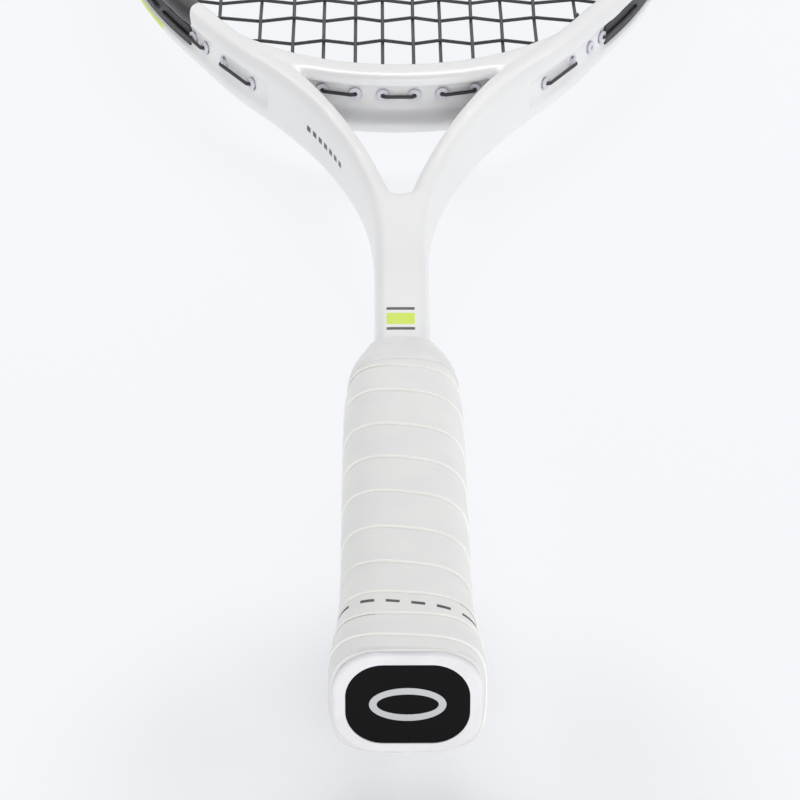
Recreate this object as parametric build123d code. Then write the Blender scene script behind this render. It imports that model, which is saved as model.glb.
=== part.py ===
"""A strung squash racket, lying flat.

X runs across the racket, Y from the butt cap to the tip of the head, and Z up through the
string bed. The origin is the centre of the butt cap's end face, in the plane of the strings.
Every length is in millimetres and every angle in degrees.
"""
from build123d import *
from math import cos, hypot, radians, sin, sqrt, tan
import os

os.makedirs("parts", exist_ok=True)

# ---- Frame: plan ----
overall_length = 685.0
shaft_half_width = 8.1
flare_start_y = 231.0         # the shaft starts to open into the two arms
flare_radius = 222.0
shoulder_angle = 35.0         # the arms open this far before they swing back to the sides
flare_angle = 27.5            # of the straight sides, from the Y axis
side_apex_y = 262.0           # the lines of the two straight sides would meet here
head_half_width = 102.5
head_wide_y = 520.0           # the widest place of the head
hoop_width = 9.5              # radial width of the hoop's tube
throat_radius = 3.1           # at the bottom of the open throat
throat_center_y = 268.7
throat_arm_radius = 362.0     # curve of the arms' inner edges
throat_arm_angles = (12.0, 25.0)
arm_join_y = 372.0            # the arms' inner edges run into the hoop's
frame_end_y = 12.0            # the tube stops short of the butt cap's end wall

# ---- Frame: side profile and section ----
shaft_half_height = 8.75
throat_half_height = 10.75
hoop_half_height = 8.25
profile_shaft_y = 235.0
profile_throat_y = 345.0
profile_hoop_y = 450.0
edge_round = 3.6
tube_wall = 1.5
groove_half_width = 4.2
groove_depth = 1.6
groove_start_y = 352.0

# ---- Bridge ----
bridge_back_y = 356.7         # its face towards the strings, on the centre line
bridge_depth = 12.8           # from that face to the front of its two lips
bridge_web = 4.3              # wall that the strings go through
bridge_groove_half_width = 6.0
bridge_back_round = 3.4
bridge_lip_round = 2.2
bridge_groove_round = 1.5
bridge_end_y = 382.0          # its two ends thin out along the hoop up to here

# ---- Strings ----
string_diameter = 1.2
string_gap = 0.2              # between a string's loop and the strip under it
string_turn_gap = 0.4         # from a grommet's tip to where its string turns
weave_height = 0.68           # of a string's centre line over the string plane at a crossing
weave_bend_radius = 6.0
entry_bend_radius = 2.0
exit_bend_radius = 1.1
loop_bend_radius = 6.0
main_x = (5.2, 14.4, 25.2, 35.6, 47.0, 61.2, 71.5)
cross_first_y = (394.6, 413.4)
cross_start_y = 428.4
cross_pitch = 15.2
cross_count = 18
bridge_mains = 3              # mains on each side that end in the bridge
shoulder_exit_y = {3: 361.0, 4: 378.0}    # outside ends of the two slanted holes on each side
knot_radius = 0.65
knot_bend_radius = 1.6
knot_reach = 4.8              # from where the string turns into its grommet

# ---- Grommets and bumper ----
hole_radius = 1.5
barrel_bore_radius = 0.8
barrel_proud = 0.9            # past the frame's inner face
flange_radius = 2.1
flange_thickness = 0.7
strip_half_width = 3.4
strip_thickness = 0.8
strip_y = (400.0, 468.0)
bumper_start_y = 470.0
bumper_thickness = 1.2
bumper_half_width = 4.6
bumper_channel_half_width = 1.3

# ---- Handle ----
# Stations of the wrapped handle: distance from the butt, half width, half thickness.
grip_stations = (
    (1.6, 19.4, 15.6),
    (7.0, 20.1, 16.3),
    (15.0, 19.6, 15.9),
    (24.0, 18.5, 15.2),
    (34.0, 17.7, 14.8),
    (45.0, 17.2, 14.5),
    (134.0, 16.9, 14.3),
    (146.0, 16.3, 13.9),
    (152.0, 15.7, 13.4),
)
collar_stations = (
    (157.0, 15.0, 12.9),
    (163.0, 13.3, 11.7),
    (168.0, 11.6, 10.2),
    (171.0, 10.8, 9.6),
)
corner_share = 0.78           # corner radius over half thickness
grip_thickness = 1.6
collar_thickness = 0.6
pallet_end_y = 170.0
cap_half_width = 18.7
cap_half_thickness = 14.85
cap_length = 30.0
cap_wall = 1.5
cap_end_wall = 3.4
cap_edge_round = 1.2
badge_half_width = 15.45
badge_half_height = 11.7
badge_corner = 9.5
badge_thickness = 1.4
badge_recess = 0.25
emblem_half_width = 9.6
emblem_half_height = 4.9
emblem_line = 1.9
emblem_thickness = 0.2
nail_radius = 0.7
nail_length = 9.0
nail_head_radius = 1.5
nail_head_thickness = 0.5
nail_head_depth = 0.4
nail_y = 18.0

# ---- Worked out from the driving dimensions ----
handle_stations = grip_stations + collar_stations
collar_start_y = grip_stations[-1][0]
head_top_y = overall_length - bumper_thickness
head_rise = head_top_y - head_wide_y
side_sin = sin(radians(flare_angle))
side_cos = cos(radians(flare_angle))
shoulder_sin = sin(radians(shoulder_angle))
shoulder_cos = cos(radians(shoulder_angle))
flare_end = (
    shaft_half_width + flare_radius * (1 - shoulder_cos),
    flare_start_y + flare_radius * shoulder_sin,
)
shoulder_radius = (
    (flare_end[1] - side_apex_y) * side_sin - flare_end[0] * side_cos
) / (1 - cos(radians(shoulder_angle - flare_angle)))
shoulder_center = (
    flare_end[0] - shoulder_radius * shoulder_cos,
    flare_end[1] + shoulder_radius * shoulder_sin,
)
side_radius = (
    (head_wide_y - side_apex_y) * side_sin - head_half_width * side_cos
) / (1 - side_cos)
side_center_x = head_half_width - side_radius
inner_line = (-hoop_width * side_cos, side_apex_y + hoop_width * side_sin)
bridge_center_y = (
    inner_line[0] * side_cos - inner_line[1] * side_sin + bridge_back_y
) / (1 - side_sin)
bridge_back_radius = bridge_center_y - bridge_back_y
bridge_web_radius = bridge_back_radius + bridge_web
bridge_lip_radius = bridge_back_radius + bridge_depth
string_radius = string_diameter / 2
seat_clearance = string_radius + string_gap
string_seat = groove_depth - strip_thickness - seat_clearance
string_turn_inset = hoop_width + barrel_proud + string_turn_gap
bridge_turn_radius = bridge_back_radius - barrel_proud - string_turn_gap
cross_y = cross_first_y + tuple(
    cross_start_y + cross_pitch * i for i in range(cross_count - len(cross_first_y))
)


# ---- Plan curves of the frame ----
def side_x(y, inset):
    """Half width at y on the straight side's line, moved inwards by inset."""
    return (y - side_apex_y) * tan(radians(flare_angle)) - inset / side_cos


def shoulder_end(inset):
    """Where the shoulder's curve runs into the straight side."""
    radius = shoulder_radius - inset
    return shoulder_center[0] + radius * side_cos, shoulder_center[1] - radius * side_sin


def side_tangent_y(inset):
    """Where the straight side runs into the head's side arc."""
    return head_wide_y - (side_radius - inset) * side_sin


def hoop_x(y, inset):
    """Half width of the hoop at y, on the curve that lies inset inside its outer edge."""
    if y >= head_wide_y:
        share = (y - head_wide_y) / (head_rise - inset)
        return (head_half_width - inset) * sqrt(1 - share**2)
    if y >= side_tangent_y(inset):
        return side_center_x + sqrt((side_radius - inset) ** 2 - (y - head_wide_y) ** 2)
    if y >= shoulder_end(inset)[1]:
        return side_x(y, inset)
    radius = shoulder_radius - inset
    if y >= shoulder_center[1] - radius * shoulder_sin:
        return shoulder_center[0] + sqrt(radius**2 - (y - shoulder_center[1]) ** 2)
    radius = flare_radius + inset
    return shaft_half_width + flare_radius - sqrt(radius**2 - (y - flare_start_y) ** 2)


def hoop_top_y(x, inset):
    """Height of the head's top quarter ellipse at x."""
    return head_wide_y + (head_rise - inset) * sqrt(1 - (x / (head_half_width - inset)) ** 2)


def hoop_low_y(x, inset):
    """Height of the hoop's lower side at x."""
    arc_y = head_wide_y - sqrt((side_radius - inset) ** 2 - (x - side_center_x) ** 2)
    if arc_y > side_tangent_y(inset):
        return arc_y
    return side_apex_y + (x + inset / side_cos) / tan(radians(flare_angle))


def hoop_normal(x, y):
    """Outward normal of the hoop at a point of its right half."""
    if y >= head_wide_y:
        nx, ny = x / head_half_width**2, (y - head_wide_y) / head_rise**2
    elif y >= side_tangent_y(hoop_width):
        nx, ny = x - side_center_x, y - head_wide_y
    else:
        nx, ny = side_cos, -side_sin
    return nx / hypot(nx, ny), ny / hypot(nx, ny)


def closed_face(half_edges, bottom_y=None):
    """Mirror the right half of an outline in the YZ plane and fill it."""
    edges = half_edges + [mirror(edge, about=Plane.YZ) for edge in half_edges]
    if bottom_y is not None:
        x = (half_edges[0] @ 0).X
        edges.append(Line((-x, bottom_y), (x, bottom_y)))
    return make_face(edges)


def head_edges(inset, start):
    """Right side of the hoop from a start point on its straight side to the tip."""
    radius = side_radius - inset
    tangent = (side_center_x + radius * side_cos, side_tangent_y(inset))
    return [
        Line(start, tangent),
        CenterArc((side_center_x, head_wide_y), radius, -flare_angle, flare_angle),
        EllipticalCenterArc(
            (0, head_wide_y), head_half_width - inset, head_rise - inset, 0, arc_size=90
        ),
    ]


def outer_face(inset, bottom_y):
    """The whole frame's plan, without its opening."""
    x = shaft_half_width - inset
    shoulder_turn = shoulder_angle - flare_angle
    flare_center = (shaft_half_width + flare_radius, flare_start_y)
    return closed_face(
        [
            Line((x, bottom_y), (x, flare_start_y)),
            CenterArc(flare_center, flare_radius + inset, 180, -shoulder_angle),
            CenterArc(shoulder_center, shoulder_radius - inset, -shoulder_angle, shoulder_turn),
            *head_edges(inset, shoulder_end(inset)),
        ],
        bottom_y,
    )


def opening_face(growth):
    """The frame's one big opening, throat and head together, grown into the tube's wall."""
    first, last = throat_arm_angles
    start_normal = (cos(radians(first)), -sin(radians(first)))
    arm_center = (
        (throat_radius + throat_arm_radius) * start_normal[0],
        throat_center_y + (throat_radius + throat_arm_radius) * start_normal[1],
    )
    arm = CenterArc(arm_center, throat_arm_radius - growth, 180 - first, first - last)
    bottom = CenterArc((0, throat_center_y), throat_radius + growth, -90, 90 - first)
    join = (side_x(arm_join_y, hoop_width - growth), arm_join_y)
    return closed_face(
        [bottom, arm, Line(arm @ 1, join), *head_edges(hoop_width - growth, join)]
    )


def side_profile(shrink):
    """Everything between the frame's top and bottom, lowered by shrink."""
    shaft = shaft_half_height - shrink
    throat = throat_half_height - shrink
    hoop = hoop_half_height - shrink
    points = (
        (0, profile_shaft_y, shaft),
        (0, profile_throat_y, throat),
        (0, profile_hoop_y, hoop),
    )
    top = [
        Line((0, -20, shaft), points[0]),
        Spline(points, tangents=((0, 1, 0), (0, 1, 0))),
        Line(points[2], (0, overall_length + 20, hoop)),
    ]
    bottom = [mirror(edge, about=Plane.XY) for edge in top]
    ends = [
        Line((0, y, -height), (0, y, height))
        for y, height in ((-20, shaft), (overall_length + 20, hoop))
    ]
    face = make_face(top + bottom + ends)
    return extrude(face, amount=head_half_width + 20, both=True)


def frame_shell():
    """The frame's outside, before it is hollowed, grooved and drilled."""
    plan = outer_face(0, frame_end_y) - opening_face(0)
    solid = extrude(plan, amount=throat_half_height + 2, both=True) & side_profile(0)
    rims = [
        edge
        for edge in solid.edges()
        if abs(edge.center().Z) > hoop_half_height / 2 and edge.center().Y > frame_end_y + 1
    ]
    return fillet(rims, edge_round)


def band(inset_outer, inset_inner, half_height, low_y, high_y=overall_length + 20):
    """A closed band that follows the hoop's outside between two heights of y."""
    ring = outer_face(inset_outer, frame_end_y) - outer_face(inset_inner, frame_end_y - 5)
    window = Pos(0, (low_y + high_y) / 2) * Rectangle(3 * head_half_width, high_y - low_y)
    return extrude(ring & window, amount=half_height, both=True)


# ---- Holes and string ends ----
def rod(start, end, radius):
    """A round bar between two points of the string plane."""
    reach = Vector(*end) - Vector(*start)
    plane = Plane(origin=Vector(*start), z_dir=reach)
    return extrude(plane * Circle(radius), amount=reach.length)


def along(start, end, distance):
    """The point at a distance past start, on the way to end."""
    length = hypot(end[0] - start[0], end[1] - start[1])
    return tuple(a + (b - a) * distance / length for a, b in zip(start, end))


def drilled_end(turn, normal):
    """A string end whose hole is square to the hoop: where it turns inside and outside."""
    reach = string_turn_inset - string_seat
    return turn, (turn[0] + normal[0] * reach, turn[1] + normal[1] * reach)


def main_low_end(index):
    """Lower end of a main: through the bridge, the shoulder or the hoop's side."""
    x = main_x[index]
    if index < bridge_mains + len(shoulder_exit_y):
        turn = (x, bridge_center_y - sqrt(bridge_turn_radius**2 - x**2))
    if index < bridge_mains:
        seat = bridge_web_radius + flange_thickness + seat_clearance
        return turn, (x, bridge_center_y - sqrt(seat**2 - x**2))
    if index in shoulder_exit_y:
        exit_y = shoulder_exit_y[index]
        return turn, (hoop_x(exit_y, string_seat), exit_y)
    turn = (x, hoop_low_y(x, string_turn_inset))
    return drilled_end(turn, hoop_normal(*turn))


def main_top_end(index):
    """Upper end of a main, in the top of the hoop."""
    turn = (main_x[index], hoop_top_y(main_x[index], string_turn_inset))
    return drilled_end(turn, hoop_normal(*turn))


def cross_end(y):
    """End of a cross, in the hoop's side."""
    turn = (hoop_x(y, string_turn_inset), y)
    return drilled_end(turn, hoop_normal(*turn))


main_low = [main_low_end(i) for i in range(len(main_x))]
main_top = [main_top_end(i) for i in range(len(main_x))]
cross_ends = [cross_end(y) for y in cross_y]


def both_sides(point, side):
    """The point on the right, side 1, or its mirror image on the left, side -1."""
    return side * point[0], point[1]


def hole(end, side, radius):
    """A drilled hole along one string end, clear through the wall."""
    turn, leave = (both_sides(point, side) for point in end)
    length = hypot(leave[0] - turn[0], leave[1] - turn[1])
    return rod(along(turn, leave, -1.0), along(turn, leave, length + 4.0), radius)


def barrel(end, side, seat):
    """A grommet's tube, from the seat of its strip or flange to past the inner face."""
    turn, leave = (both_sides(point, side) for point in end)
    length = hypot(leave[0] - turn[0], leave[1] - turn[1])
    tip = along(turn, leave, string_turn_gap)
    root = along(turn, leave, length - seat)
    return rod(tip, root, hole_radius) - hole(end, side, barrel_bore_radius)


def flanged_grommet(end, side):
    """A single grommet with a round flange on the outside."""
    turn, leave = (both_sides(point, side) for point in end)
    length = hypot(leave[0] - turn[0], leave[1] - turn[1])
    inner = along(turn, leave, length - seat_clearance - flange_thickness)
    outer = along(turn, leave, length - seat_clearance)
    flange = rod(inner, outer, flange_radius) - hole(end, side, barrel_bore_radius)
    return barrel(end, side, seat_clearance + flange_thickness) + flange


sides = (1, -1)
bridge_ends = [main_low[i] for i in range(bridge_mains)]
shoulder_ends = [main_low[i] for i in shoulder_exit_y]
hoop_ends = main_low[bridge_mains + len(shoulder_exit_y):] + main_top + cross_ends
side_ends = shoulder_ends + [end for end in hoop_ends if end[1][1] < strip_y[0]]
strip_ends = [end for end in hoop_ends if strip_y[0] <= end[1][1] < bumper_start_y - 4]
bumper_ends = [end for end in hoop_ends if end[1][1] >= bumper_start_y - 4]


# ---- Frame and bridge ----
def make_frame(shell):
    cavity_plan = outer_face(groove_depth + tube_wall, frame_end_y - 1) - opening_face(tube_wall)
    cavity = extrude(cavity_plan, amount=throat_half_height, both=True)
    body = shell - (cavity & side_profile(tube_wall))
    body -= band(-3.0, groove_depth, groove_half_width, groove_start_y)
    drills = [hole(end, side, hole_radius) for end in hoop_ends + shoulder_ends for side in sides]
    return body - drills


def make_bridge():
    """A channel that is open towards the handle and closes the head."""
    ring = Circle(bridge_lip_radius) - Circle(bridge_back_radius)
    plan = Pos(0, bridge_center_y) * ring
    plan &= Pos(0, bridge_end_y - 99) * Rectangle(3 * bridge_lip_radius, 200)
    body = extrude(plan, amount=throat_half_height + 2, both=True) & side_profile(0)
    channel = Circle(bridge_lip_radius + 5) - Circle(bridge_web_radius)
    channel = extrude(channel, amount=bridge_groove_half_width, both=True)
    body = round_bridge(body - Pos(0, bridge_center_y) * channel)
    window = Pos(0, bridge_end_y - 100) * Rectangle(3 * bridge_lip_radius, 200)
    body &= extrude(opening_face(0) & window, amount=throat_half_height + 2, both=True)
    drills = [hole(end, side, hole_radius) for end in bridge_ends + shoulder_ends for side in sides]
    return body - drills


def distance_from_bridge_center(edge):
    middle = edge @ 0.5
    return hypot(middle.X, middle.Y - bridge_center_y)


def round_bridge(body):
    """Round the long edges of the bridge: its back, its lips and the channel's mouth."""
    for radius, low, high, size in (
        (bridge_back_radius, throat_half_height - 2.5, throat_half_height, bridge_back_round),
        (bridge_lip_radius, throat_half_height - 2.5, throat_half_height, bridge_lip_round),
        (bridge_lip_radius, 0, bridge_groove_half_width + 0.1, bridge_groove_round),
    ):
        edges = [
            edge
            for edge in body.edges()
            if abs(distance_from_bridge_center(edge) - radius) < 0.1
            and low < abs((edge @ 0.5).Z) <= high
            and edge.length > 20
        ]
        body = fillet(edges, size)
    return body


# ---- Grommets and bumper ----
def make_side_strip(side):
    """A strip in the groove at one side of the head, with a tube for every string."""
    low_y, high_y = strip_y
    strip = band(groove_depth - strip_thickness, groove_depth, strip_half_width, low_y, high_y)
    half = Pos(side * head_half_width, head_wide_y) * Box(2 * head_half_width, 900, 40)
    strip = strip & half
    for end in strip_ends:
        strip += barrel(end, side, seat_clearance)
    return strip - [hole(end, side, barrel_bore_radius) for end in strip_ends]


def make_bumper():
    """The guard round the head's tip, keyed into the groove, with its own tubes."""
    guard = band(-bumper_thickness, 0, bumper_half_width, bumper_start_y)
    guard += band(0, groove_depth, groove_half_width - 0.05, bumper_start_y)
    channel_floor = groove_depth - strip_thickness
    guard -= band(-3.0, channel_floor, bumper_channel_half_width, bumper_start_y - 5)
    for end in bumper_ends:
        for side in sides:
            guard += barrel(end, side, seat_clearance)
    return guard - [hole(end, side, barrel_bore_radius) for end in bumper_ends for side in sides]


def make_grommets(ends, body):
    """Single flanged grommets, one solid each, fitted to the body that they sit in."""
    return Compound(children=[flanged_grommet(end, side) - body for end in ends for side in sides])


# ---- Strings ----
def over_or_under(main_number, cross_number):
    """1 where the main passes over the cross, else -1."""
    return -1 if (main_number + cross_number) % 2 == 0 else 1


main_columns = [(-1, i) for i in reversed(range(len(main_x)))]
main_columns += [(1, i) for i in range(len(main_x))]


def crosses_over(index, cross_number):
    """Whether this main and this cross meet inside the head."""
    y = cross_y[cross_number]
    return main_low[index][0][1] + 1 < y < main_top[index][0][1] - 1


def outside_middle(first, last):
    """The string's seat halfway between two holes, where its loop would cut the strip."""
    x, y = (first[0] + last[0]) / 2, (first[1] + last[1]) / 2
    if y < head_wide_y:
        return []
    seat = ((1 if x > 0 else -1) * hoop_x(y, string_seat), y)
    if abs(x) < head_half_width * 0.6:
        seat = (x, hoop_top_y(abs(x), string_seat))
    if hypot(seat[0] - x, seat[1] - y) < 2 * string_gap:
        return []
    return [(*seat, 0)]


def join_runs(runs):
    """One route from the runs across the head, looped from hole to hole outside it."""
    points, radii = [], []
    for run in runs:
        if points:
            middle = outside_middle(points[-1], run[0])
            points += middle
            radii += [loop_bend_radius] * len(middle)
        weave_bends = [weave_bend_radius] * (len(run) - 4)
        points += run
        radii += [exit_bend_radius, entry_bend_radius, *weave_bends]
        radii += [entry_bend_radius, exit_bend_radius]
    return points[1:-1], radii[2:-2]


def main_route():
    """The main string, from its tie-off at the left to the one at the right."""
    runs = []
    for number, (side, index) in enumerate(main_columns):
        low = [both_sides(point, side) for point in main_low[index]]
        top = [both_sides(point, side) for point in main_top[index]]
        weave = [
            (side * main_x[index], cross_y[j], weave_height * over_or_under(number, j))
            for j in range(cross_count)
            if crosses_over(index, j)
        ]
        run = [(*low[1], 0), (*low[0], 0), *weave, (*top[0], 0), (*top[1], 0)]
        runs.append(run if number % 2 else run[::-1])
    return join_runs(runs)


def cross_route():
    """The cross string, from its lowest run up."""
    runs = []
    for j in range(cross_count):
        inside, outside = cross_ends[j]
        weave = [
            (side * main_x[index], cross_y[j], -weave_height * over_or_under(number, j))
            for number, (side, index) in enumerate(main_columns)
            if crosses_over(index, j)
        ]
        left = [(-outside[0], outside[1], 0), (-inside[0], inside[1], 0)]
        run = [*left, *weave, (*inside, 0), (*outside, 0)]
        runs.append(run if j % 2 else run[::-1])
    return join_runs(runs)


def make_string(route):
    """A round string swept along straight runs and tangent arcs."""
    points, radii = route
    path = FilletPolyline(points, radius=radii)
    section = Plane(origin=path @ 0, z_dir=path % 0) * Circle(string_radius)
    return sweep(section, path=path)


def make_knots():
    """Tie-off knots on the string inside the hoop: two on the mains and two on the crosses."""
    spots = [(both_sides(main_top[-1][0], side), (0, -1)) for side in sides]
    spots += [(cross_ends[j][0], (-1, 0)) for j in (1, -1)]
    knots = []
    for (x, y), (along_x, along_y) in spots:
        center = (x + along_x * knot_reach, y + along_y * knot_reach)
        plane = Plane(origin=center, z_dir=(along_x, along_y, 0))
        knots.append(plane * Torus(knot_bend_radius, knot_radius))
    return Compound(children=knots)


# ---- Handle ----
def station_at(y):
    """Half width and half thickness of the wrapped handle at y."""
    for (y0, w0, t0), (y1, w1, t1) in zip(handle_stations, handle_stations[1:]):
        if y0 <= y <= y1:
            share = (y - y0) / (y1 - y0)
            return w0 + (w1 - w0) * share, t0 + (t1 - t0) * share
    raise ValueError(f"{y} is off the handle")


def handle_section(y, half_width, half_thickness):
    plane = Plane(origin=(0, y, 0), x_dir=(1, 0, 0), z_dir=(0, 1, 0))
    corner = corner_share * half_thickness
    return plane * RectangleRounded(2 * half_width, 2 * half_thickness, corner)


def handle_body(start_y, end_y, shrink):
    """A solid length of the handle, this far under its wrapped surface."""
    between = [station[0] for station in handle_stations if start_y < station[0] < end_y]
    sections = []
    for y in (start_y, *between, end_y):
        half_width, half_thickness = station_at(y)
        sections.append(handle_section(y, half_width - shrink, half_thickness - shrink))
    return loft(sections, ruled=True)


def make_pallets(shell, nails):
    """The two foam halves round the tube, as one body before they are parted."""
    body = handle_body(cap_end_wall, cap_length, grip_thickness + cap_wall)
    body += handle_body(cap_length, collar_start_y, grip_thickness)
    body += handle_body(collar_start_y, pallet_end_y, collar_thickness)
    return body - shell - nails


def make_grip():
    start_y = handle_stations[0][0]
    return handle_body(start_y, collar_start_y, 0) - handle_body(
        start_y, collar_start_y, grip_thickness
    )


def make_collar(shell):
    """Finishing tape over the end of the wrap."""
    end_y = handle_stations[-1][0]
    inside = handle_body(collar_start_y, pallet_end_y, collar_thickness)
    return handle_body(collar_start_y, end_y, 0) - inside - shell


def make_butt_cap(nails):
    """A cup over the end of the handle, with a pocket for its badge."""
    rim_depth = handle_stations[0][0]
    rim = extrude(handle_section(0, cap_half_width, cap_half_thickness), amount=rim_depth)
    front = [edge for edge in rim.edges() if edge.bounding_box().max.Y < 0.01]
    rim = fillet(front, cap_edge_round)
    skirt = handle_body(rim_depth, cap_length, grip_thickness)
    skirt -= handle_body(cap_end_wall, cap_length, grip_thickness + cap_wall)
    pocket = extrude(badge_section(0, 0.05), amount=badge_recess + badge_thickness)
    return rim + skirt - pocket - nails


def badge_section(y, play):
    plane = Plane(origin=(0, y, 0), x_dir=(1, 0, 0), z_dir=(0, 1, 0))
    width, height = 2 * (badge_half_width + play), 2 * (badge_half_height + play)
    return plane * RectangleRounded(width, height, badge_corner + play)


def make_emblem():
    """A plain oval ring on the badge."""
    plane = Plane(origin=(0, badge_recess - emblem_thickness, 0), x_dir=(1, 0, 0), z_dir=(0, 1, 0))
    ring = Ellipse(emblem_half_width, emblem_half_height) - Ellipse(
        emblem_half_width - emblem_line, emblem_half_height - emblem_line
    )
    return extrude(plane * ring, amount=emblem_thickness)


def make_nails():
    """Two nails through the cap's skirt into the foam, one at each side."""
    half_width = station_at(nail_y)[0] - grip_thickness - nail_head_depth
    nails = []
    for side in sides:
        plane = Plane(origin=(side * half_width, nail_y, 0), z_dir=(-side, 0, 0))
        shank = extrude(plane * Circle(nail_radius), amount=nail_length)
        head = extrude(plane * Circle(nail_head_radius), amount=nail_head_thickness)
        nails.append(shank + head)
    return Compound(children=nails)


# ---- Build every piece ----
shell = frame_shell()
nails = make_nails()
pallets = make_pallets(shell, nails)
frame = make_frame(shell)
bridge = make_bridge()
parts = {
    "frame": frame,
    "bridge": bridge,
    "handle_pallet_upper": split(pallets, Plane.XY, keep=Keep.TOP),
    "handle_pallet_lower": split(pallets, Plane.XY, keep=Keep.BOTTOM),
    "butt_cap": make_butt_cap(nails),
    "butt_cap_nails": nails,
    "butt_badge": extrude(badge_section(badge_recess, 0), amount=badge_thickness),
    "badge_emblem": make_emblem(),
    "grip_tape": make_grip(),
    "grip_collar": make_collar(shell),
    "head_bumper": make_bumper(),
    "grommet_strip_right": make_side_strip(1),
    "grommet_strip_left": make_side_strip(-1),
    "bridge_grommets": make_grommets(bridge_ends, bridge),
    "shoulder_grommets": make_grommets(side_ends, frame),
    "main_string": make_string(main_route()),
    "cross_string": make_string(cross_route()),
    "string_knots": make_knots(),
}
for name, shape in parts.items():
    export_step(shape, f"parts/{name}.step")
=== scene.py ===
"""The looks of a strung squash racket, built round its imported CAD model.

Everything is in metres, in the racket's own frame: X across, Y from the butt cap to the tip of
the head, Z up. Sizes that are easier to read in millimetres are multiplied by MM.
"""
from math import copysign, cos, hypot, pi, radians, sin, tan

import bmesh
import bpy
from mathutils import Matrix, Vector, noise


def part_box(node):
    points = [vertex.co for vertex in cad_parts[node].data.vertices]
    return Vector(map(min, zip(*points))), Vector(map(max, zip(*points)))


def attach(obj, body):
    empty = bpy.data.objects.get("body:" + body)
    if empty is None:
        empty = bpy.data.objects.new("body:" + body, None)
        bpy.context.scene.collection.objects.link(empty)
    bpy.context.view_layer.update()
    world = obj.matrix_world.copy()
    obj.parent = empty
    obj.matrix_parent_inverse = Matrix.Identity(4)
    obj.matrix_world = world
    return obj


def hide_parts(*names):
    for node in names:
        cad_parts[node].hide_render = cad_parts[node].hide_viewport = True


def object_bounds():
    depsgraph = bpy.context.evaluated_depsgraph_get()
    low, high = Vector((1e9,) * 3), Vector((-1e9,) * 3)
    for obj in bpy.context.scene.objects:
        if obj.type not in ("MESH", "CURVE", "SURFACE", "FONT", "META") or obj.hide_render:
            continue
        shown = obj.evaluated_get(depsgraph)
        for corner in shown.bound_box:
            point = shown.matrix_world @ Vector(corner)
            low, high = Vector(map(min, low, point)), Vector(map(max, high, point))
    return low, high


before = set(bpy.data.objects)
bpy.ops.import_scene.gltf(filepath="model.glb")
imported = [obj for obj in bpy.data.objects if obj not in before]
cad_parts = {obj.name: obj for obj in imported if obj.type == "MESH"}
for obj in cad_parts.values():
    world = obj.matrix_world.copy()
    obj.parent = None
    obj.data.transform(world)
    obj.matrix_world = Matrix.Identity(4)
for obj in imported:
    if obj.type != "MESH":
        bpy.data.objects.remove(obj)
cad_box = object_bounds()
MM = 0.001

# ---- Camera ----
camera_place = Vector((-0.0078, -0.7592, 0.5241))
camera_down = radians(29.93)
camera_yaw = radians(0.434)
camera_roll = radians(0.103)
camera_lens_mm = 167.2
camera_sensor_mm = 36.0

# ---- Studio ----
floor_gap = 9 * MM
floor_half = 6.0
floor_glow = 1.0
floor_matt_share = 0.12
floor_spot_inner, floor_spot_outer = 50 * MM, 110 * MM
floor_spot_matt = 0.75        # under the butt the floor is matt, so it takes a soft shadow
world_low, world_high = 0.80, 0.22
# Name, place, target, size and power of each soft light.
lights = (
    ("back", (0.1, 1.05, 0.95), (0, 0.35, 0), (1.3, 0.6), 6.0),
    ("front", (0.3, -1.8, 0.7), (0, 0.1, 0), (1.6, 1.0), 15.0),
    ("head", (0.0, 0.85, 0.72), (0, 0.42, 0), (0.6, 0.4), 1.6),
    ("right", (1.5, 0.0, 0.6), (0, 0.2, 0), (1.4, 1.0), 5.0),
    ("left", (-1.5, 0.0, 0.6), (0, 0.2, 0), (1.4, 1.0), 3.2),
)

# ---- Painted body ----
skin_voxel = 0.7 * MM
skin_rounds = 8
soft_rounds = 36
soft_from_y, soft_to_y, soft_fade = 250 * MM, 402 * MM, 8 * MM
skin_kept = 0.45

# ---- Wrapped tape ----
# Where the lower edge of each turn crosses the top of the handle, closer together at the butt.
wrap_edges_y = [
    y * MM for y in (-14, -4, 7.0, 17.8, 28.5, 43.1, 59.9, 78.0, 95.8, 113.4, 132.4, 147.0, 163, 180)
]
# One turn's section: share of the way to the next edge, height over the nominal surface.
tape_section = (
    (0.000, -0.48 * MM),
    (0.003, -0.20 * MM),
    (0.010, -0.04 * MM),
    (0.024, 0.03 * MM),
    (0.046, 0.01 * MM),
    (0.090, -0.03 * MM),
    (0.220, -0.04 * MM),
    (0.420, -0.08 * MM),
    (0.620, -0.18 * MM),
    (0.800, -0.32 * MM),
    (0.920, -0.42 * MM),
    (0.980, -0.47 * MM),
)
tape_edge_rows = 3            # rows of the section in the edge colour: the tape's cream core, lightened into a painted highlight
tape_wobble = 0.35 * MM
tape_swell = 0.06 * MM
tape_inside = 1.3 * MM

# ---- Collar ----
collar_overlap = 1.2 * MM     # how far it reaches down over the wrap
collar_height = 0.16 * MM
collar_fold = 0.05 * MM
collar_inside = 0.8 * MM


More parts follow.
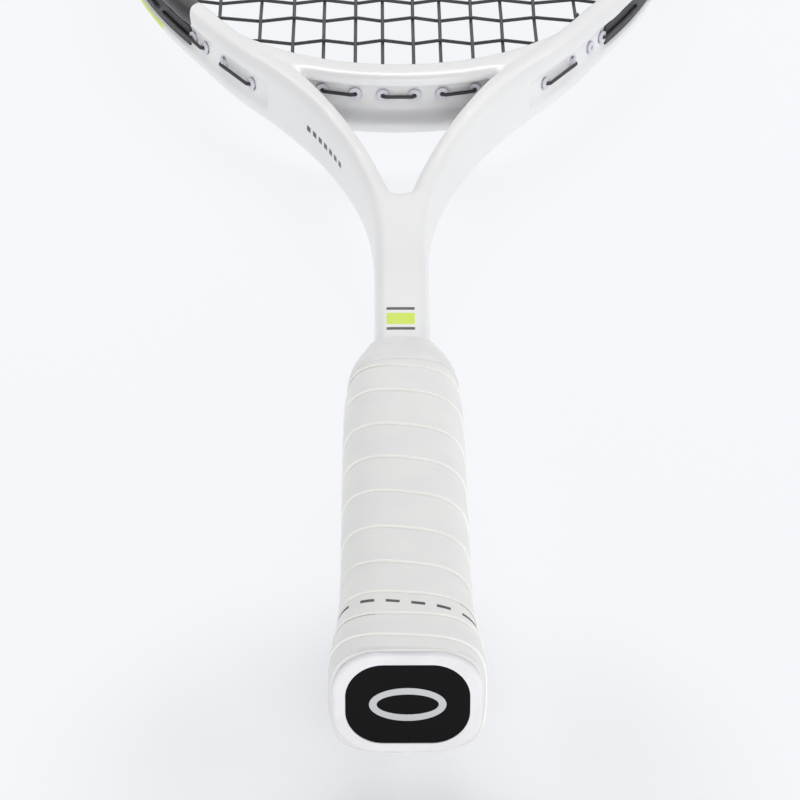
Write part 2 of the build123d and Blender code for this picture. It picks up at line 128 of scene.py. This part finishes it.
# ---- Node helpers ----
class Shader:
    """A Principled material and short ways to add nodes to it."""

    def __init__(self, name, color, roughness, **sockets):
        self.material = bpy.data.materials.new(name)
        self.material.use_nodes = True
        self.tree = self.material.node_tree
        self.principled = self.tree.nodes["Principled BSDF"]
        self.set("Base Color", (*color, 1.0))
        self.set("Roughness", roughness)
        for socket, value in sockets.items():
            self.set(socket.replace("_", " "), value)
        coordinates = self.node("ShaderNodeTexCoord")
        self.place = coordinates.outputs["Object"]
        split = self.node("ShaderNodeSeparateXYZ")
        self.link(self.place, split.inputs[0])
        self.x, self.y, self.z = split.outputs

    def node(self, kind, **settings):
        made = self.tree.nodes.new(kind)
        for key, value in settings.items():
            setattr(made, key, value)
        return made

    def link(self, source, target):
        self.tree.links.new(source, target)

    def feed(self, value, target):
        """Link a socket, or set a plain value."""
        if isinstance(value, bpy.types.NodeSocket):
            self.link(value, target)
        else:
            target.default_value = value

    def set(self, socket, value):
        self.feed(value, self.principled.inputs[socket])

    def math(self, operation, a, b=0.0, c=0.0):
        made = self.node("ShaderNodeMath", operation=operation)
        for value, target in zip((a, b, c), made.inputs):
            self.feed(value, target)
        return made.outputs[0]

    def ramp(self, value, low, high, out_low=0.0, out_high=1.0):
        """A smooth change from out_low at low to out_high at high."""
        made = self.node("ShaderNodeMapRange", interpolation_type="SMOOTHSTEP")
        for value_in, target in zip((value, low, high, out_low, out_high), made.inputs):
            self.feed(value_in, target)
        return made.outputs[0]

    def between(self, value, low, high, soft):
        """1 between low and high, 0 outside, with soft edges."""
        rise = self.ramp(value, low - soft, low + soft)
        fall = self.ramp(value, high - soft, high + soft, 1.0, 0.0)
        return self.math("MULTIPLY", rise, fall)

    def both(self, *masks):
        joined = masks[0]
        for mask in masks[1:]:
            joined = self.math("MULTIPLY", joined, mask)
        return joined

    def mix(self, factor, a, b):
        """Colour b over colour a."""
        made = self.node("ShaderNodeMix", data_type="RGBA")
        self.feed(factor, made.inputs[0])
        for value, target in ((a, made.inputs[6]), (b, made.inputs[7])):
            if isinstance(value, tuple) and len(value) == 3:
                value = (*value, 1.0)
            self.feed(value, target)
        return made.outputs[2]

    def noise(self, size, detail=3.0, roughness=0.5, stretch=(1, 1, 1)):
        """Noise whose features are about this size, in metres."""
        mapping = self.node("ShaderNodeMapping")
        mapping.inputs["Scale"].default_value = stretch
        self.link(self.place, mapping.inputs[0])
        made = self.node("ShaderNodeTexNoise")
        made.inputs["Scale"].default_value = 1.0 / size
        made.inputs["Detail"].default_value = detail
        made.inputs["Roughness"].default_value = roughness
        self.link(mapping.outputs[0], made.inputs["Vector"])
        return made.outputs[0]

    def bump(self, *layers):
        """Stack bumps: each layer is a height from 0 to 1 and how deep it is, in metres."""
        normal = None
        for height, depth in layers:
            made = self.node("ShaderNodeBump")
            made.inputs["Distance"].default_value = depth
            self.link(height, made.inputs["Height"])
            if normal is not None:
                self.link(normal, made.inputs["Normal"])
            normal = made.outputs[0]
        self.set("Normal", normal)


# ---- Materials ----
white = (0.80, 0.80, 0.80)
soft_black = (0.012, 0.012, 0.014)
neon = (0.62, 0.80, 0.03)

# ---- Print ----
print_soft = 0.1 * MM
# Mark on the shaft: two fine lines with a neon bar between them.
shaft_lines_y = ((176.4 * MM, 178.0 * MM), (188.4 * MM, 190.0 * MM))
shaft_bar_y = (179.8 * MM, 186.6 * MM)
shaft_mark_x = (-4.6 * MM, 3.6 * MM)
shaft_top_z = (6.0 * MM, 6.4 * MM)
# Neon flash low on the left of the hoop.
flash_y = (419 * MM, 455 * MM)
flash_z = (-4.6 * MM, -4.3 * MM)
# Black panels up the hoop's straight lower sides, over its upper part, to the bumper.
panel_starts = ((-1, 395 * MM), (1, 426 * MM))
panel_z = (3.9 * MM, 4.1 * MM)
panel_end_y = (480 * MM, 481 * MM)
panel_sweep = 15 * MM
side_slope = radians(27.5)
hoop_across = 10.7 * MM
side_offset = -136.4 * MM
# Ticks on the outer face of the left arm.
tick_from_y, tick_to_y = 298 * MM, 328 * MM
tick_z = (-0.2 * MM, 1.7 * MM)
tick_count = 7
tick_share = 0.6
arm_middle_x, arm_spread = 14.6 * MM, 0.38
# Dashes on the tape: how far they tilt with the winding, their pitch and where they lie.
dash_tilt = 0.20
dash_pitch = 6.4 * MM
dash_share = 0.55
dash_y = 23.4 * MM
dash_half_width = 0.75 * MM
dash_z = (4 * MM, 5 * MM)


def frame_paint():
    """Satin white lacquer with printed bands."""
    s = Shader("frame_lacquer", white, 0.34, Coat_Weight=0.25, Coat_Roughness=0.12)
    speckle = s.noise(0.4 * MM, 4.0)
    cloud = s.noise(40 * MM, 2.0)
    paint = s.mix(s.ramp(cloud, 0.3, 0.7), (0.79, 0.79, 0.795), (0.82, 0.82, 0.815))
    paint = s.mix(print_masks(s), paint, soft_black)
    paint = s.mix(neon_masks(s), paint, neon)
    s.set("Base Color", paint)
    s.set("Roughness", s.ramp(speckle, 0.3, 0.7, 0.30, 0.38))
    s.bump((s.noise(1.6 * MM, 2.0), 0.010 * MM), (speckle, 0.004 * MM))
    return s.material


def print_masks(s):
    """Black print: two fine lines on the shaft, ticks on the left arm, a panel up each side."""
    lines = s.math("ADD", *(s.between(s.y, *line, print_soft) for line in shaft_lines_y))
    masks = [s.both(shaft_mark_area(s), lines)]
    masks += [side_panel(s, side, start) for side, start in panel_starts]
    masks.append(arm_ticks(s))
    total = masks[0]
    for mask in masks[1:]:
        total = s.math("MAXIMUM", total, mask)
    return total


def neon_masks(s):
    """Neon print: a bar between the shaft's lines, and a flash low on the left of the hoop."""
    bar = s.both(shaft_mark_area(s), s.between(s.y, *shaft_bar_y, print_soft))
    low = s.ramp(s.z, *flash_z, 1.0, 0.0)
    left = s.ramp(s.x, -1 * MM, 0.0, 1.0, 0.0)
    flash = s.both(low, left, s.between(s.y, *flash_y, 0.3 * MM))
    return s.math("MAXIMUM", bar, flash)


def shaft_mark_area(s):
    """The top of the shaft between the ends of the printed lines."""
    return s.both(s.ramp(s.z, *shaft_top_z), s.between(s.x, *shaft_mark_x, 0.15 * MM))


def side_panel(s, side, start_y):
    """Black from a curved front up to the bumper, over the upper half of one side of the hoop."""
    across = s.math("MULTIPLY", s.x, side)
    outer_x = s.math("ADD", s.math("MULTIPLY", s.y, tan(side_slope)), side_offset)
    inset = s.math("MAXIMUM", s.math("SUBTRACT", outer_x, across), 0.0)
    front = s.math("MULTIPLY", s.math("SQRT", s.math("DIVIDE", inset, hoop_across)), panel_sweep)
    ahead = s.math("SUBTRACT", s.math("SUBTRACT", s.y, start_y), front)
    return s.both(
        s.ramp(ahead, -0.15 * MM, 0.15 * MM),
        s.ramp(across, 0.0, 1 * MM),
        s.ramp(s.z, *panel_z),
        s.ramp(s.y, *panel_end_y, 1.0, 0.0),
    )


def arm_ticks(s):
    """A broken fine line along the outer face of the left arm."""
    along = s.math("SUBTRACT", s.y, tick_from_y)
    middle = s.math("ADD", s.math("MULTIPLY", along, arm_spread), arm_middle_x)
    outside = s.math("SUBTRACT", s.math("MULTIPLY", s.x, -1.0), middle)
    step = s.math("FRACT", s.math("MULTIPLY", along, tick_count / (tick_to_y - tick_from_y)))
    return s.both(
        s.ramp(outside, 0.0, 0.5 * MM),
        s.between(s.y, tick_from_y, tick_to_y, 0.05 * MM),
        s.between(s.z, *tick_z, print_soft),
        s.between(step, 0.1, 0.1 + tick_share, 0.02),
    )


def string_material():
    s = Shader("black_string", (0.02, 0.02, 0.022), 0.42, Specular_IOR_Level=0.6)
    fibre = s.noise(0.25 * MM, 4.0)
    s.set("Base Color", s.mix(fibre, (0.012, 0.012, 0.014), (0.035, 0.035, 0.040)))
    s.set("Roughness", s.ramp(fibre, 0.3, 0.7, 0.34, 0.52))
    s.bump((fibre, 0.03 * MM))
    return s.material


def tape_face():
    """Soft polyurethane face of the grip tape."""
    s = Shader("grip_tape_face", (0.76, 0.76, 0.75), 0.62, Sheen_Weight=0.15)
    pores = s.noise(0.7 * MM, 5.0, 0.6)
    cloud = s.noise(14 * MM, 2.0)
    plain = s.mix(s.ramp(cloud, 0.3, 0.7), (0.77, 0.77, 0.765), (0.80, 0.795, 0.78))
    s.set("Base Color", s.mix(tape_dashes(s), plain, (0.02, 0.02, 0.022)))
    s.set("Roughness", s.ramp(pores, 0.3, 0.7, 0.55, 0.70))
    s.bump((s.noise(5 * MM, 2.0), 0.10 * MM), (pores, 0.05 * MM))
    return s.material


def tape_dashes(s):
    """A row of plain dashes printed across the top of one turn of the tape."""
    wound = s.math("ADD", s.y, s.math("MULTIPLY", s.x, dash_tilt))
    step = s.math("FRACT", s.math("DIVIDE", s.x, dash_pitch))
    return s.both(
        s.between(wound, dash_y - dash_half_width, dash_y + dash_half_width, 0.08 * MM),
        s.between(step, 0.16, 0.16 + dash_share, 0.015),
        s.ramp(s.z, *dash_z),
    )


def tape_edge_and_highlight():
    """The tape's cream felt core at its edge, lightened to near-white as a painted highlight along
    each seam.
    """
    s = Shader("grip_tape_edge_and_painted_highlight", (0.96, 0.95, 0.90), 0.8)
    fluff = s.noise(0.5 * MM, 4.0, 0.7)
    # Near-white edge colour: the core's cream tint lightened into a painted highlight along each
    # seam.
    s.set("Base Color", s.mix(fluff, (0.93, 0.92, 0.86), (0.98, 0.975, 0.94)))
    s.bump((fluff, 0.15 * MM))
    return s.material


def moulded_plastic(name, color, roughness, specular=0.5, grain=0.5 * MM, depth=0.02 * MM):
    s = Shader(name, color, roughness, Specular_IOR_Level=specular)
    fine = s.noise(grain, 3.0)
    cloud = s.noise(9 * MM, 2.0)
    darker = tuple(0.94 * c for c in color)
    s.set("Base Color", s.mix(s.ramp(cloud, 0.3, 0.7), darker, color))
    s.set("Roughness", s.ramp(fine, 0.3, 0.7, roughness - 0.05, roughness + 0.05))
    s.bump((fine, depth))
    return s.material


def brushed_metal(name, color, roughness):
    s = Shader(name, color, roughness, Metallic=1.0)
    scratches = s.noise(0.8 * MM, 3.0, stretch=(1, 1, 14))
    s.set("Roughness", s.ramp(scratches, 0.3, 0.7, roughness - 0.08, roughness + 0.10))
    s.bump((scratches, 0.01 * MM))
    return s.material


def foam():
    s = Shader("pallet_foam", (0.70, 0.66, 0.55), 0.9)
    cells = s.node("ShaderNodeTexVoronoi")
    cells.inputs["Scale"].default_value = 1 / (0.8 * MM)
    s.link(s.place, cells.inputs["Vector"])
    s.set("Base Color", s.mix(cells.outputs[0], (0.58, 0.54, 0.44), (0.74, 0.70, 0.60)))
    s.bump((cells.outputs[0], 0.1 * MM))
    return s.material


# ---- Shape helpers ----
def node_rings(name):
    """Half width and half height of a CAD node at each ring of its vertices along Y."""
    rings = {}
    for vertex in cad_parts[name].data.vertices:
        y = round(vertex.co.y, 5)
        width, height = rings.get(y, (0.0, 0.0))
        rings[y] = max(width, abs(vertex.co.x)), max(height, abs(vertex.co.z))
    return rings


def smooth_between(knots, at):
    """Value at a place on a smooth line through (place, value) knots."""
    for i in range(len(knots) - 1):
        if at <= knots[i + 1][0] or i == len(knots) - 2:
            break
    (x0, v0), (x1, v1) = knots[i], knots[i + 1]
    slope = (v1 - v0) / (x1 - x0)
    before = knots[i - 1] if i > 0 else None
    after = knots[i + 2] if i + 2 < len(knots) else None
    start = slope if before is None else (v1 - before[1]) / (x1 - before[0])
    end = slope if after is None else (after[1] - v0) / (after[0] - x0)
    t = (at - x0) / (x1 - x0)
    width = x1 - x0
    return (
        (2 * t**3 - 3 * t**2 + 1) * v0
        + (t**3 - 2 * t**2 + t) * width * start
        + (-2 * t**3 + 3 * t**2) * v1
        + (t**3 - t**2) * width * end
    )


handle_rings = {**node_rings("grip_tape"), **node_rings("grip_collar")}
handle_y = [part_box("grip_tape")[0].y]
handle_y += [y * MM for y in (7, 15, 24, 34, 45, 134, 146, 152, 157, 163, 168, 171)]
half_widths = [(y, handle_rings[round(y, 5)][0]) for y in handle_y]
half_heights = [(y, handle_rings[round(y, 5)][1]) for y in handle_y]
section_roundness = [
    (y * MM, power)
    for y, power in ((0, 3.4), (25, 3.1), (62, 3.0), (110, 2.8), (150, 2.8), (171, 3.0))
]
outline_count = 168


def section_point(index, y):
    """A point of the handle's oval section at y, and its outward direction.

    The oval is a superellipse: squarer at the butt cap, rounder where the hand holds it.
    """
    power = smooth_between(section_roundness, y)
    width, height = smooth_between(half_widths, y), smooth_between(half_heights, y)
    angle = 2 * pi * index / outline_count
    c, s = cos(angle), sin(angle)
    x = width * copysign(abs(c) ** (2 / power), c)
    z = height * copysign(abs(s) ** (2 / power), s)
    nx = copysign(abs(c) ** (2 - 2 / power), c) / width
    nz = copysign(abs(s) ** (2 - 2 / power), s) / height
    length = hypot(nx, nz)
    return x, z, nx / length, nz / length


def outline_turns():
    """How far round the handle each outline point is, from 0 to 1, by length."""
    middle = handle_y[5]
    spots = [Vector(section_point(i, middle)[:2]) for i in range(outline_count + 1)]
    lengths = [0.0]
    for a, b in zip(spots, spots[1:]):
        lengths.append(lengths[-1] + (b - a).length)
    return [length / lengths[-1] for length in lengths]


turns = outline_turns()
top_turn = turns[outline_count // 4]


def handle_point(index, y, lift):
    """A point this far above the handle's nominal surface."""
    x, z, nx, nz = section_point(index, y)
    return x + nx * lift, y, z + nz * lift


def mesh_piece(name, points, faces, materials, face_materials=None, smooth=True):
    """A new mesh piece of the racket."""
    mesh = bpy.data.meshes.new(name)
    mesh.from_pydata(points, [], faces)
    for material in materials:
        mesh.materials.append(material)
    if face_materials:
        mesh.polygons.foreach_set("material_index", face_materials)
    mesh.polygons.foreach_set("use_smooth", [smooth] * len(faces))
    mesh.update()
    piece = bpy.data.objects.new(name, mesh)
    bpy.context.scene.collection.objects.link(piece)
    return piece


def wobble(turn, seed):
    """A slow, repeatable unevenness between -1 and 1 along the tape."""
    return noise.noise(Vector((turn * 3.1, seed, 0.5))) * 2


def close_tube(piece, inset, low_y, high_y):
    """Give an open tube a thickness, turned in at both ends."""
    mesh = piece.data
    work = bmesh.new()
    work.from_mesh(mesh)
    bmesh.ops.remove_doubles(work, verts=work.verts, dist=0.002 * MM)
    for y, outward in ((low_y, -1), (high_y, 1)):
        bmesh.ops.bisect_plane(
            work,
            geom=work.verts[:] + work.edges[:] + work.faces[:],
            plane_co=(0, y, 0),
            plane_no=(0, outward, 0),
            clear_outer=True,
        )
    bmesh.ops.recalc_face_normals(work, faces=work.faces)
    inner = []
    for end in (low_y, high_y):
        rim = [
            e
            for e in work.edges
            if e.is_boundary and all(abs(v.co.y - end) < 0.01 * MM for v in e.verts)
        ]
        made = bmesh.ops.extrude_edge_only(work, edges=rim)["geom"]
        for vertex in (g for g in made if isinstance(g, bmesh.types.BMVert)):
            reach = hypot(vertex.co.x, vertex.co.z)
            vertex.co.x *= 1 - inset / reach
            vertex.co.z *= 1 - inset / reach
        inner += [g for g in made if isinstance(g, bmesh.types.BMEdge) and g.is_boundary]
    bmesh.ops.bridge_loops(work, edges=inner)
    bmesh.ops.recalc_face_normals(work, faces=work.faces)
    for face in work.faces:
        face.smooth = True
    work.to_mesh(mesh)
    work.free()


def copy_of(names):
    """One mesh object made of copies of these CAD nodes."""
    work = bmesh.new()
    for name in names:
        work.from_mesh(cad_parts[name].data)
    mesh = bpy.data.meshes.new("copy")
    work.to_mesh(mesh)
    work.free()
    copy = bpy.data.objects.new("copy", mesh)
    bpy.context.scene.collection.objects.link(copy)
    return copy


def applied(piece):
    """The mesh of a piece with its modifiers worked in; the piece itself is removed."""
    bpy.context.view_layer.update()
    evaluated = piece.evaluated_get(bpy.context.evaluated_depsgraph_get())
    mesh = bpy.data.meshes.new_from_object(evaluated)
    bpy.data.objects.remove(piece)
    return mesh


def make_body(material):
    """Tube and bridge as the painter leaves them: one skin, with every edge softened."""
    work = copy_of(("frame", "bridge"))
    remesh = work.modifiers.new("skin", "REMESH")
    remesh.mode = "VOXEL"
    remesh.voxel_size = skin_voxel
    mesh = applied(work)
    work = bpy.data.objects.new("skin", mesh)
    bpy.context.scene.collection.objects.link(work)
    group = work.vertex_groups.new(name="soft")
    for vertex in mesh.vertices:
        y = vertex.co.y
        share = min((y - soft_from_y) / soft_fade, (soft_to_y - y) / soft_fade)
        if share > 0:
            group.add([vertex.index], min(1.0, share), "REPLACE")
    every = work.modifiers.new("even", "SMOOTH")
    every.factor, every.iterations = 0.5, skin_rounds
    local = work.modifiers.new("soften", "SMOOTH")
    local.factor, local.iterations, local.vertex_group = 0.5, soft_rounds, "soft"
    thin = work.modifiers.new("thin", "DECIMATE")
    thin.ratio = skin_kept
    mesh = applied(work)
    mesh.name = "painted_body"
    mesh.materials.clear()
    mesh.materials.append(material)
    mesh.polygons.foreach_set("use_smooth", [True] * len(mesh.polygons))
    piece = bpy.data.objects.new("painted_body", mesh)
    bpy.context.scene.collection.objects.link(piece)
    return piece


def make_tape(face, cut_edge_and_highlight):
    """One long strip of tape, wound round the handle with each turn over the last."""
    knots = list(enumerate(wrap_edges_y))
    low_y, high_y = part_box("grip_tape")[0].y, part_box("grip_tape")[1].y
    rows, count = len(tape_section), outline_count
    total = (len(wrap_edges_y) - 1) * rows
    points, faces, slots = [], [], []
    for row in range(total + 1):
        turn, part = divmod(row, rows)
        share, lift = tape_section[part]
        for column in range(count + 1):
            wound = turn + turns[column] - top_turn
            y = smooth_between(knots, max(0.0, min(wound + share, len(knots) - 1.0)))
            y += tape_wobble * wobble(wound, 1.0) * (1 - share)
            swell = tape_swell * wobble(wound * 2.3 + share, 7.0)
            x, _, z = handle_point(column, max(low_y, min(high_y, y)), lift + swell)
            points.append((x, y, z))
    for row in range(total):
        for column in range(count):
            a = row * (count + 1) + column
            b = a + count + 1
            faces.append((a, a + 1, b + 1, b))
            # The first rows of each turn take the edge material, a painted highlight along the seam.
            slots.append(1 if row % rows < tape_edge_rows else 0)
    piece = mesh_piece("grip_wrap", points, faces, [face, cut_edge_and_highlight], slots)
    close_tube(piece, tape_inside, low_y, high_y)
    return piece


def make_collar(material):
    """Finishing tape, drawn tight over the end of the wrap."""
    low_y, high_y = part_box("grip_collar")[0].y - collar_overlap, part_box("grip_collar")[1].y
    section = [(0.0, -0.25 * MM), (0.008, 0.05 * MM), (0.03, collar_height)]
    section += [(i / 40, collar_height) for i in range(3, 39)]
    section += [(0.975, 0.12 * MM), (0.99, 0.02 * MM), (1.0, -0.2 * MM)]
    points, faces = [], []
    count = outline_count
    for share, lift in section:
        for column in range(count):
            y = low_y + (high_y - low_y) * share
            fold = collar_fold * wobble(turns[column] * 4 + share, 3.0)
            x, _, z = handle_point(column, max(y, handle_y[0]), lift + fold)
            points.append((x, y, z))
    for row in range(len(section) - 1):
        for column in range(count):
            a, b = row * count + column, row * count + (column + 1) % count
            faces.append((a, b, b + count, a + count))
    piece = mesh_piece("collar_wrap", points, faces, [material])
    close_tube(piece, collar_inside, low_y, high_y)
    return piece


# ---- Studio ----
def make_camera():
    """Looks down the handle from the butt's side."""
    forward = Vector(
        (sin(camera_yaw) * cos(camera_down), cos(camera_yaw) * cos(camera_down), -sin(camera_down))
    )
    right = Vector((cos(camera_yaw), -sin(camera_yaw), 0))
    up = right.cross(forward)
    rolled_right = right * cos(camera_roll) + up * sin(camera_roll)
    rolled_up = up * cos(camera_roll) - right * sin(camera_roll)
    data = bpy.data.cameras.new("camera")
    data.lens = camera_lens_mm
    data.sensor_width = camera_sensor_mm
    data.clip_start, data.clip_end = 0.01, 50
    camera = bpy.data.objects.new("camera", data)
    rotation = Matrix((rolled_right, rolled_up, -forward)).transposed().to_4x4()
    camera.matrix_world = Matrix.Translation(camera_place) @ rotation
    bpy.context.scene.collection.objects.link(camera)
    bpy.context.scene.camera = camera


def make_floor():
    """Pale sweep under the racket, lit from behind so that its shadows stay faint."""
    z = cad_box[0].z - floor_gap
    corners = [(x * floor_half, y * floor_half, z) for x, y in ((-1, -1), (1, -1), (1, 1), (-1, 1))]
    material = bpy.data.materials.new("floor_pale")
    material.use_nodes = True
    tree = material.node_tree
    tree.nodes.clear()
    output = tree.nodes.new("ShaderNodeOutputMaterial")
    mix = tree.nodes.new("ShaderNodeMixShader")
    glow = tree.nodes.new("ShaderNodeEmission")
    glow.inputs["Color"].default_value = (0.925, 0.94, 0.97, 1)
    glow.inputs["Strength"].default_value = floor_glow
    matt = tree.nodes.new("ShaderNodeBsdfDiffuse")
    matt.inputs["Color"].default_value = (0.93, 0.94, 0.96, 1)
    spot = tree.nodes.new("ShaderNodeVectorMath")
    spot.operation = "LENGTH"
    coordinates = tree.nodes.new("ShaderNodeTexCoord")
    tree.links.new(coordinates.outputs["Object"], spot.inputs[0])
    near = tree.nodes.new("ShaderNodeMapRange")
    near.interpolation_type = "SMOOTHSTEP"
    tree.links.new(spot.outputs["Value"], near.inputs[0])
    values = (floor_spot_inner, floor_spot_outer, floor_spot_matt, floor_matt_share)
    for target, value in zip(near.inputs[1:5], values):
        target.default_value = value
    tree.links.new(near.outputs[0], mix.inputs[0])
    tree.links.new(glow.outputs[0], mix.inputs[1])
    tree.links.new(matt.outputs[0], mix.inputs[2])
    tree.links.new(mix.outputs[0], output.inputs[0])
    floor = mesh_piece("floor", corners, [(0, 1, 2, 3)], [material], smooth=False)


def make_world():
    """An even white studio, a little brighter round the horizon than overhead."""
    world = bpy.data.worlds.new("studio")
    bpy.context.scene.world = world
    world.use_nodes = True
    tree = world.node_tree
    background = tree.nodes["Background"]
    coordinates = tree.nodes.new("ShaderNodeTexCoord")
    split = tree.nodes.new("ShaderNodeSeparateXYZ")
    tree.links.new(coordinates.outputs["Generated"], split.inputs[0])
    height = tree.nodes.new("ShaderNodeMapRange")
    tree.links.new(split.outputs[2], height.inputs[0])
    for target, value in zip(height.inputs[1:5], (0.0, 1.0, world_low, world_high)):
        target.default_value = value
    background.inputs["Color"].default_value = (0.985, 0.99, 1.0, 1)
    tree.links.new(height.outputs[0], background.inputs["Strength"])


def soft_light(name, place, target, size, power):
    data = bpy.data.lights.new(name, "AREA")
    data.shape = "RECTANGLE"
    data.size, data.size_y = size
    data.energy = power
    light = bpy.data.objects.new(name, data)
    light.location = place
    light.rotation_mode = "QUATERNION"
    light.rotation_quaternion = (Vector(target) - Vector(place)).to_track_quat("-Z", "Y")
    bpy.context.scene.collection.objects.link(light)


# ---- Put it together ----
bpy.context.scene.view_settings.view_transform = "Standard"
make_camera()
make_world()
make_floor()
for light in lights:
    soft_light(*light)

lacquer = frame_paint()
black_string = string_material()
finishes = {
    "frame": lacquer,
    "bridge": lacquer,
    "handle_pallet_upper": foam(),
    "butt_cap": moulded_plastic("cap_plastic", (0.84, 0.825, 0.85), 0.45),
    "butt_cap_nails": brushed_metal("nail_steel", (0.60, 0.60, 0.62), 0.35),
    "butt_badge": moulded_plastic("badge_black", (0.003, 0.003, 0.0035), 0.50, specular=0.12),
    "badge_emblem": brushed_metal("emblem_foil", (0.75, 0.75, 0.76), 0.30),
    "bridge_grommets": moulded_plastic("grommet_nylon", (0.70, 0.69, 0.76), 0.40),
    "head_bumper": moulded_plastic("bumper_nylon", (0.02, 0.02, 0.023), 0.48),
    "main_string": black_string,
}
finishes["handle_pallet_lower"] = finishes["handle_pallet_upper"]
finishes["shoulder_grommets"] = finishes["bridge_grommets"]
for twin in ("grommet_strip_left", "grommet_strip_right"):
    finishes[twin] = finishes["head_bumper"]
for twin in ("cross_string", "string_knots"):
    finishes[twin] = black_string
for name, material in finishes.items():
    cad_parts[name].data.materials[0] = material

body = make_body(lacquer)
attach(body, "root")
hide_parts("frame", "bridge")

wrap = make_tape(tape_face(), tape_edge_and_highlight())
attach(wrap, "root")
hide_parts("grip_tape")

collar = make_collar(moulded_plastic("collar_film", (0.79, 0.79, 0.79), 0.42))
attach(collar, "root")
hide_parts("grip_collar")
